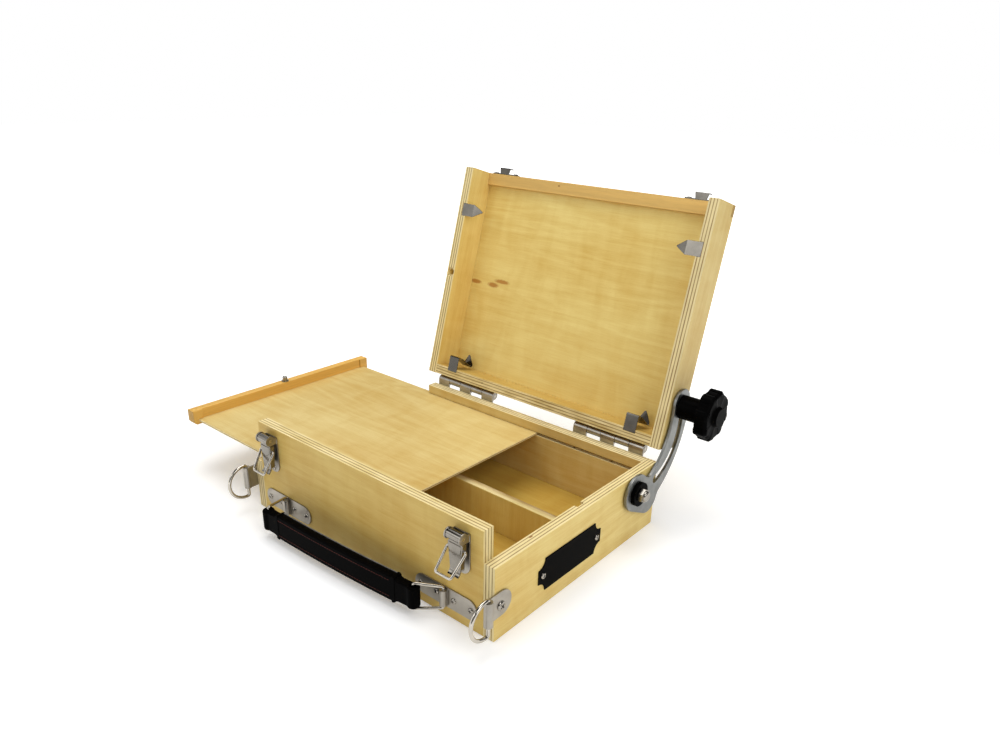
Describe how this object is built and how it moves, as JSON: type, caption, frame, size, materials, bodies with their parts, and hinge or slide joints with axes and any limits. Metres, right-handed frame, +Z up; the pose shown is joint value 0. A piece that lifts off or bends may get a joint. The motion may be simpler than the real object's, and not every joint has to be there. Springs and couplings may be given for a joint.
{
  "type": "pochade box",
  "caption": "Shallow plywood painting box standing open: hinged lid held by a slotted arm and clamp knob, slide-out mixing palette, divided tray, toggle latches, bail handle and strap rings.",
  "frame": {"origin": "centre of the tray's underside", "axes": "+Z up, -Y towards the front with the handle, +X towards the side with the lid arm"},
  "size_m": [0.5163, 0.3971, 0.3314],
  "materials": {
    "birch_ply": "clear oiled birch plywood",
    "pale_softwood": "planed, unfinished",
    "nickel": "bright nickel plate",
    "zinc_steel": "zinc plated",
    "black_plastic": "satin moulded",
    "black_leather": "smooth stitched",
    "black_enamel": "black enamel",
    "brass": "turned"
  },
  "bodies": {
    "base": {"floor_panel": "birch_ply", "front_panel": "birch_ply", "rear_wall": "birch_ply", "left_wall": "birch_ply", "right_wall": "birch_ply", "tray_divider": "pale_softwood", "hinge_base_leaves": "nickel", "hinge_base_screws": "nickel", "hinge_pins": "nickel", "arm_bolt": "nickel", "arm_bolt_nut": "nickel", "arm_washers": "black_plastic", "latch_plates": "nickel", "latch_pins": "nickel", "latch_screws": "nickel", "handle_brackets": "nickel", "handle_bracket_screws": "nickel", "ring_straps": "nickel", "ring_strap_screws": "nickel", "name_plate": "black_enamel", "name_plate_screws": "nickel"},
    "lid": {"lid_left_side": "birch_ply", "lid_right_side": "birch_ply", "lid_rear_rail": "birch_ply", "lid_front_rail": "birch_ply", "lid_back_panel": "birch_ply", "hinge_lid_leaves": "nickel", "hinge_lid_screws": "nickel", "latch_keepers": "nickel", "keeper_screws": "nickel", "panel_clips_side": "nickel", "panel_clips_rail": "nickel", "stud_insert": "brass"},
    "knob": {"clamp_stud": "nickel", "clamp_knob": "black_plastic"},
    "arm": {"support_arm": "zinc_steel"},
    "palette": {"palette_board": "birch_ply", "palette_lip": "birch_ply", "lock_stud": "nickel"},
    "lever_left": {"latch_lever_left": "nickel"},
    "lever_right": {"latch_lever_right": "nickel"},
    "bail_left": {"latch_bail_left": "nickel"},
    "bail_right": {"latch_bail_right": "nickel"},
    "link_left": {"handle_link_left": "nickel"},
    "link_right": {"handle_link_right": "nickel"},
    "grip": {"handle_grip": "black_leather"},
    "ring_left": {"carry_ring_left": "nickel"},
    "ring_right": {"carry_ring_right": "nickel"}
  },
  "joints": [
    {"name": "lid_hinge", "type": "hinge", "parent": "base", "child": "lid", "pos_m": [0, 0.1325, 0.0795], "axis": [1, 0, 0], "range_deg": [0, 105.8]},
    {"name": "arm_pivot", "type": "hinge", "parent": "base", "child": "arm", "pos_m": [0.1695, 0.0825, 0.0563], "axis": [1, 0, 0], "range_deg": [0, 89.98]},
    {"name": "knob_turn", "type": "hinge", "parent": "lid", "child": "knob", "pos_m": [0.1675, 0.15752, 0.12677], "axis": [1, 0, 0], "continuous": true},
    {"name": "palette_slide", "type": "slide", "parent": "base", "child": "palette", "axis": [1, 0, 0], "range_m": [-0.12, 0.133]},
    {"name": "latch_lever_left", "type": "hinge", "parent": "base", "child": "lever_left", "pos_m": [-0.132, -0.1355, 0.093], "axis": [-1, 0, 0], "range_deg": [0, 100]},
    {"name": "latch_bail_left", "type": "hinge", "parent": "lever_left", "child": "bail_left", "pos_m": [-0.132, -0.1338, 0.0805], "axis": [-1, 0, 0], "range_deg": [-14, 61]},
    {"name": "latch_lever_right", "type": "hinge", "parent": "base", "child": "lever_right", "pos_m": [0.132, -0.1355, 0.093], "axis": [-1, 0, 0], "range_deg": [0, 100]},
    {"name": "latch_bail_right", "type": "hinge", "parent": "lever_right", "child": "bail_right", "pos_m": [0.132, -0.1338, 0.0805], "axis": [-1, 0, 0], "range_deg": [-27, 48]},
    {"name": "handle_link_left", "type": "hinge", "parent": "base", "child": "link_left", "pos_m": [-0.1128, -0.131, 0.0205], "axis": [0, 0, 1], "range_deg": [0, 38.1]},
    {"name": "handle_link_right", "type": "hinge", "parent": "base", "child": "link_right", "pos_m": [0.1128, -0.131, 0.0205], "axis": [0, 0, 1], "range_deg": [0, 41.11]},
    {"name": "handle_grip", "type": "hinge", "parent": "link_left", "child": "grip", "pos_m": [-0.10607, -0.15611, 0.0205], "axis": [0, 0, 1], "range_deg": [-43.76, 0]},
    {"name": "ring_left", "type": "hinge", "parent": "base", "child": "ring_left", "pos_m": [-0.1705, -0.138, 0.0328], "axis": [0, 0, 1], "range_deg": [-90, 90]},
    {"name": "ring_right", "type": "hinge", "parent": "base", "child": "ring_right", "pos_m": [0.1705, -0.138, 0.0328], "axis": [0, 0, 1], "range_deg": [-90, 90]}
  ],
  "couplings": [
    {"joint": "arm_pivot", "follows": "lid_hinge", "ratio": 0.85},
    {"joint": "handle_link_right", "follows": "handle_link_left", "ratio": 1.0777},
    {"joint": "handle_grip", "follows": "handle_link_left", "ratio": -1.1473}
  ]
}
